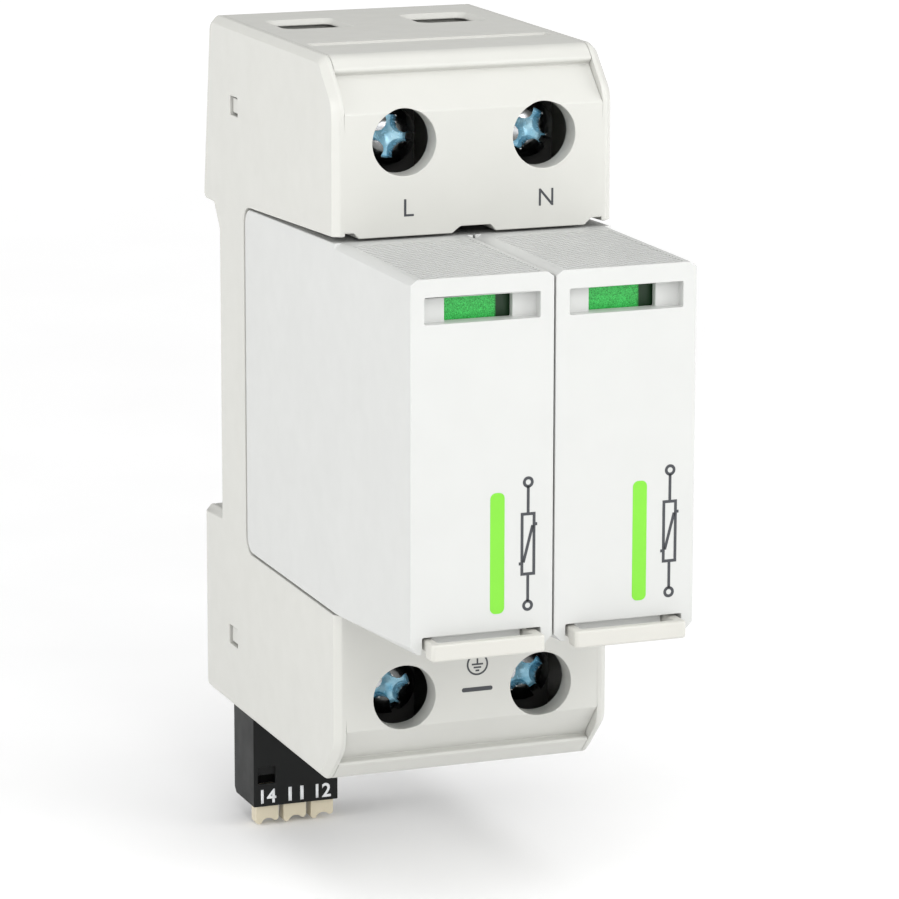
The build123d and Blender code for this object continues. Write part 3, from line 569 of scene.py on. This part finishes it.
def stroke(p, q, width):
    """A bar from p to q."""
    p, q = Vector(p), Vector(q)
    side = (q - p).orthogonal().normalized() * width / 2
    return [tuple(p + side), tuple(q + side), tuple(q - side), tuple(p - side)]


def ring(cx, cz, radius, width, parts=40):
    """The quads of a circular line."""
    quads = []
    for k in range(parts):
        a, b = (2 * math.pi * (k + n) / parts for n in (0, 1))
        quads.append([
            (cx + (radius + o) * math.cos(t), cz + (radius + o) * math.sin(t))
            for o, t in ((-width / 2, a), (width / 2, a), (width / 2, b), (-width / 2, b))
        ])
    return quads


def pill(x, z, rounding=0.4, steps=6):
    """A rounded rectangle between two X and two Z stations."""
    points = []
    for cx, cz, start in ((x[1] - rounding, z[1] - rounding, 0), (x[0] + rounding, z[1] - rounding, 90),
                          (x[0] + rounding, z[0] + rounding, 180), (x[1] - rounding, z[0] + rounding, 270)):
        for k in range(steps + 1):
            angle = math.radians(start + 90 * k / steps)
            points.append((cx + rounding * math.cos(angle), cz + rounding * math.sin(angle)))
    return points


def letters(name, text, x, z, y, body, ink, weight=0.0):
    """Characters from Blender's own font, fitted between two X and two Z stations."""
    curve = bpy.data.curves.new(name, "FONT")
    curve.body = text
    curve.offset = weight
    curve.resolution_u = 6
    holder = bpy.data.objects.new(name + "_curve", curve)
    bpy.context.scene.collection.objects.link(holder)
    bpy.context.view_layer.update()
    flat = bpy.data.meshes.new_from_object(holder.evaluated_get(bpy.context.evaluated_depsgraph_get()))
    bpy.data.objects.remove(holder)
    bm = bmesh.new()
    bm.from_mesh(flat)
    bpy.data.meshes.remove(flat)
    bmesh.ops.remove_doubles(bm, verts=bm.verts[:], dist=1e-5)
    xs, zs = [v.co.x for v in bm.verts], [v.co.y for v in bm.verts]
    for v in bm.verts:
        across = (v.co.x - min(xs)) / (max(xs) - min(xs))
        along = (v.co.y - min(zs)) / (max(zs) - min(zs))
        v.co = Vector(((x[0] + across * (x[1] - x[0])) * MM, y - INK * MM,
                       (z[0] + along * (z[1] - z[0])) * MM))
    grown = bmesh.ops.extrude_face_region(bm, geom=bm.faces[:])
    for v in (g for g in grown["geom"] if isinstance(g, bmesh.types.BMVert)):
        v.co.y = y + INK * MM / 2
    bmesh.ops.recalc_face_normals(bm, faces=bm.faces[:])
    mesh = bpy.data.meshes.new(name)
    bm.to_mesh(mesh)
    bm.free()
    return new_piece(name, mesh, ink, body)


letters("mark_line", "L", (-9.08, -7.82), (25.9, 28.0), FRONT_Y, "base", "ink_dark")
letters("mark_neutral", "N", (8.33, 10.22), (26.2, 28.3), FRONT_Y, "base", "ink_dark")
EARTH = (0.55, -30.5)
EARTH_R = 1.3
EARTH_LINE = 0.22
EARTH_RING_LINE = 0.23
earth_lines = [stroke((EARTH[0], EARTH[1] + 1.2), (EARTH[0], EARTH[1] + 0.1), EARTH_LINE)]
for drop, half in ((0.0, 0.75), (-0.4, 0.5), (-0.8, 0.25)):
    earth_lines.append(stroke((EARTH[0] - half, EARTH[1] + drop), (EARTH[0] + half, EARTH[1] + drop),
                              EARTH_LINE))
print_mesh("mark_earth", ring(*EARTH, EARTH_R, EARTH_RING_LINE) + earth_lines, FRONT_Y, "base", "ink_dark")
print_mesh("mark_earth_bar", [pill((-1.5, 2.56), (-33.95, -33.4), 0.25)], FRONT_Y, "base", "ink_dark")

PLUG_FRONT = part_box("signal_plug")[0].y
PLUG_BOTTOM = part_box("signal_plug")[0].z / MM
DIGITS_HALF_X = 1.05
DIGITS_Z = (PLUG_BOTTOM + 0.45, PLUG_BOTTOM + 2.35)
for way in ("14", "11", "12"):
    lo, hi = (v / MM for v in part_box("signal_lever_" + way))
    middle = (lo.x + hi.x) / 2
    letters("mark_" + way, way, (middle - DIGITS_HALF_X, middle + DIGITS_HALF_X), DIGITS_Z,
            PLUG_FRONT, "signal_plug", "ink_white", 0.02)

# generic varistor symbol: a box crossed by a bent line, between two round terminals
SYMBOL_X = 5.75  # from the middle of the module
SYMBOL_HALF_X = 0.75
SYMBOL_Z = (-12.6, -5.4)
SYMBOL_LINE = 0.36
TERMINAL_Z = (-16.4, -1.6)
TERMINAL_R = 0.5
BEND_X = 1.15
BEND_Z = 1.27

for pole in POLES:
    lo, hi = (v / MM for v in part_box(pole + "_module_shell"))
    x, face = (lo.x + hi.x) / 2, lo.y * MM
    print_mesh(pole + "_mark_bar", [pill((x + 1.0, x + 2.8), (-17.1, -2.6), 0.7)], face, pole + "_module",
               "ink_green")
    axis, (low, high), w = x + SYMBOL_X, SYMBOL_Z, SYMBOL_LINE
    left, right = axis - SYMBOL_HALF_X, axis + SYMBOL_HALF_X
    box_lines = [
        stroke((left, low - w / 2), (left, high + w / 2), w),
        stroke((right, low - w / 2), (right, high + w / 2), w),
        stroke((left + w / 2, low), (right - w / 2, low), w),
        stroke((left + w / 2, high), (right - w / 2, high), w),
        stroke((axis, low - w / 2), (axis, TERMINAL_Z[0] + TERMINAL_R), w),
        stroke((axis, high + w / 2), (axis, TERMINAL_Z[1] - TERMINAL_R), w),
        stroke((left + w / 2, low + 1.4), (right - w / 2, high - 1.4), w),
        stroke((left - w / 2, low + BEND_Z), (axis - BEND_X, low + BEND_Z), w),
        stroke((right + w / 2, high - BEND_Z), (axis + BEND_X, high - BEND_Z), w),
    ]
    for z in TERMINAL_Z:
        box_lines += ring(axis, z, TERMINAL_R, w)
    print_mesh(pole + "_mark_varistor", box_lines, face, pole + "_module", "ink_dark")
